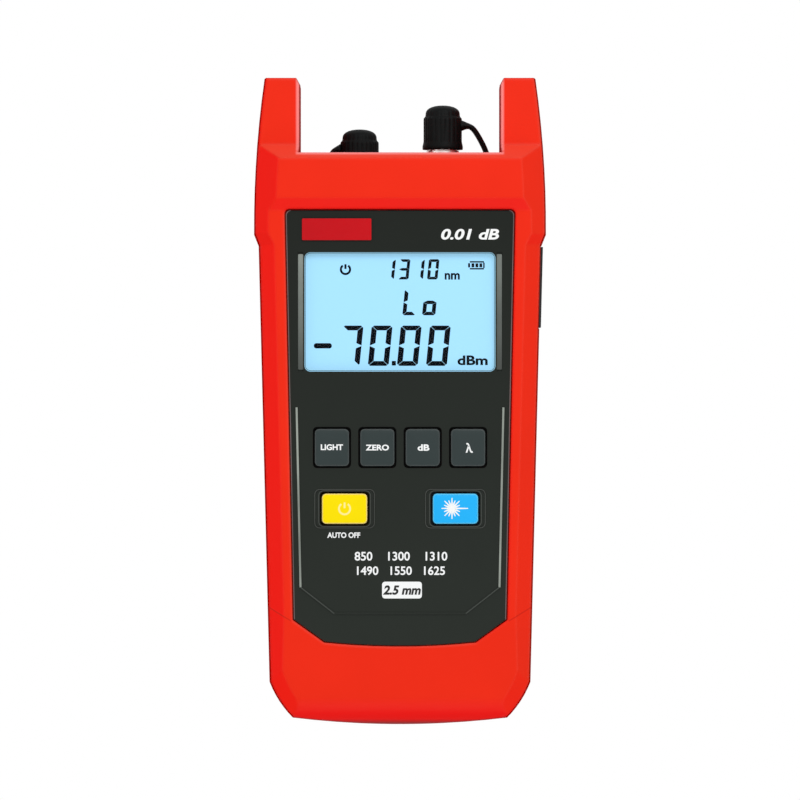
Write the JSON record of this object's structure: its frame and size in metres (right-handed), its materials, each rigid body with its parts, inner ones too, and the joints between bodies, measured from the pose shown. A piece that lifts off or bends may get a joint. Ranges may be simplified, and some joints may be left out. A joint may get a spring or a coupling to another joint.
{
  "type": "optical power meter",
  "caption": "Handheld optical power meter with a visible fault locator, backlit display, six keys, two capped ports between horns, a charging port cover and a battery door.",
  "frame": {"origin": "centre of the footprint on the resting plane of the back", "axes": "+X right of the display, +Y towards the ports, +Z out of the display"},
  "size_m": [0.0896, 0.198, 0.044],
  "materials": {
    "red_shell": "satin",
    "dark_panel": "fine grain",
    "red_plate": "gloss",
    "grey_key": "satin",
    "yellow_key": "satin",
    "blue_key": "satin",
    "mat_rubber": "matte",
    "lens": "clear",
    "lcd": "backlit",
    "white_plastic": "translucent",
    "board": "solder mask",
    "port_metal": "nickel plated",
    "cap_rubber": "matte",
    "can_metal": "plated",
    "can_brass": "turned",
    "cover_rubber": "matte",
    "black_plastic": "moulded",
    "cell_jacket": "shrink film",
    "contact_metal": "nickel plated",
    "screw_metal": "black zinc"
  },
  "bodies": {
    "housing": {"front_shell": "red_shell", "rear_shell": "red_shell", "front_panel": "dark_panel", "brand_plate": "red_plate", "keypad_mat": "mat_rubber", "display_lens": "lens", "display_glass": "lcd", "light_guide": "white_plastic", "main_board": "board", "meter_port": "port_metal", "laser_port": "port_metal", "meter_tether": "cap_rubber", "laser_tether": "cap_rubber", "detector": "can_metal", "laser_module": "can_brass", "charge_jack": "black_plastic", "cell_1": "cell_jacket", "cell_2": "cell_jacket", "cell_3": "cell_jacket", "battery_contacts": "contact_metal", "shell_screws": "screw_metal"},
    "light_button": {"key_light": "grey_key"},
    "zero_button": {"key_zero": "grey_key"},
    "unit_button": {"key_unit": "grey_key"},
    "wavelength_button": {"key_wavelength": "grey_key"},
    "power_button": {"key_power": "yellow_key"},
    "laser_button": {"key_laser": "blue_key"},
    "power_port_cap": {"meter_cap": "cap_rubber"},
    "laser_port_cap": {"laser_cap": "cap_rubber"},
    "side_cover": {"port_cover": "cover_rubber"},
    "rear_door": {"battery_door": "red_shell"}
  },
  "joints": [
    {"name": "light_press", "type": "slide", "parent": "housing", "child": "light_button", "axis": [0, 0, -1], "range_m": [0, 0.0008], "stiffness_N_per_m": 600, "springref_m": -0.0003},
    {"name": "zero_press", "type": "slide", "parent": "housing", "child": "zero_button", "axis": [0, 0, -1], "range_m": [0, 0.0008], "stiffness_N_per_m": 600, "springref_m": -0.0003},
    {"name": "unit_press", "type": "slide", "parent": "housing", "child": "unit_button", "axis": [0, 0, -1], "range_m": [0, 0.0008], "stiffness_N_per_m": 600, "springref_m": -0.0003},
    {"name": "wavelength_press", "type": "slide", "parent": "housing", "child": "wavelength_button", "axis": [0, 0, -1], "range_m": [0, 0.0008], "stiffness_N_per_m": 600, "springref_m": -0.0003},
    {"name": "power_press", "type": "slide", "parent": "housing", "child": "power_button", "axis": [0, 0, -1], "range_m": [0, 0.0008], "stiffness_N_per_m": 600, "springref_m": -0.0003},
    {"name": "laser_press", "type": "slide", "parent": "housing", "child": "laser_button", "axis": [0, 0, -1], "range_m": [0, 0.0008], "stiffness_N_per_m": 600, "springref_m": -0.0003},
    {"name": "power_cap_pull", "type": "slide", "parent": "housing", "child": "power_port_cap", "axis": [0, 1, 0], "range_m": [0, 0.012], "deforming": ["meter_tether"]},
    {"name": "laser_cap_pull", "type": "slide", "parent": "housing", "child": "laser_port_cap", "axis": [0, 1, 0], "range_m": [0, 0.012], "deforming": ["laser_tether"]},
    {"name": "side_cover_hinge", "type": "hinge", "parent": "housing", "child": "side_cover", "pos_m": [0.04312, 0.0227, 0.022], "axis": [0, 0, -1], "range_deg": [0, 100]},
    {"name": "rear_door_lift", "type": "slide", "parent": "housing", "child": "rear_door", "axis": [0, 0, -1], "range_m": [0, 0.012]}
  ]
}
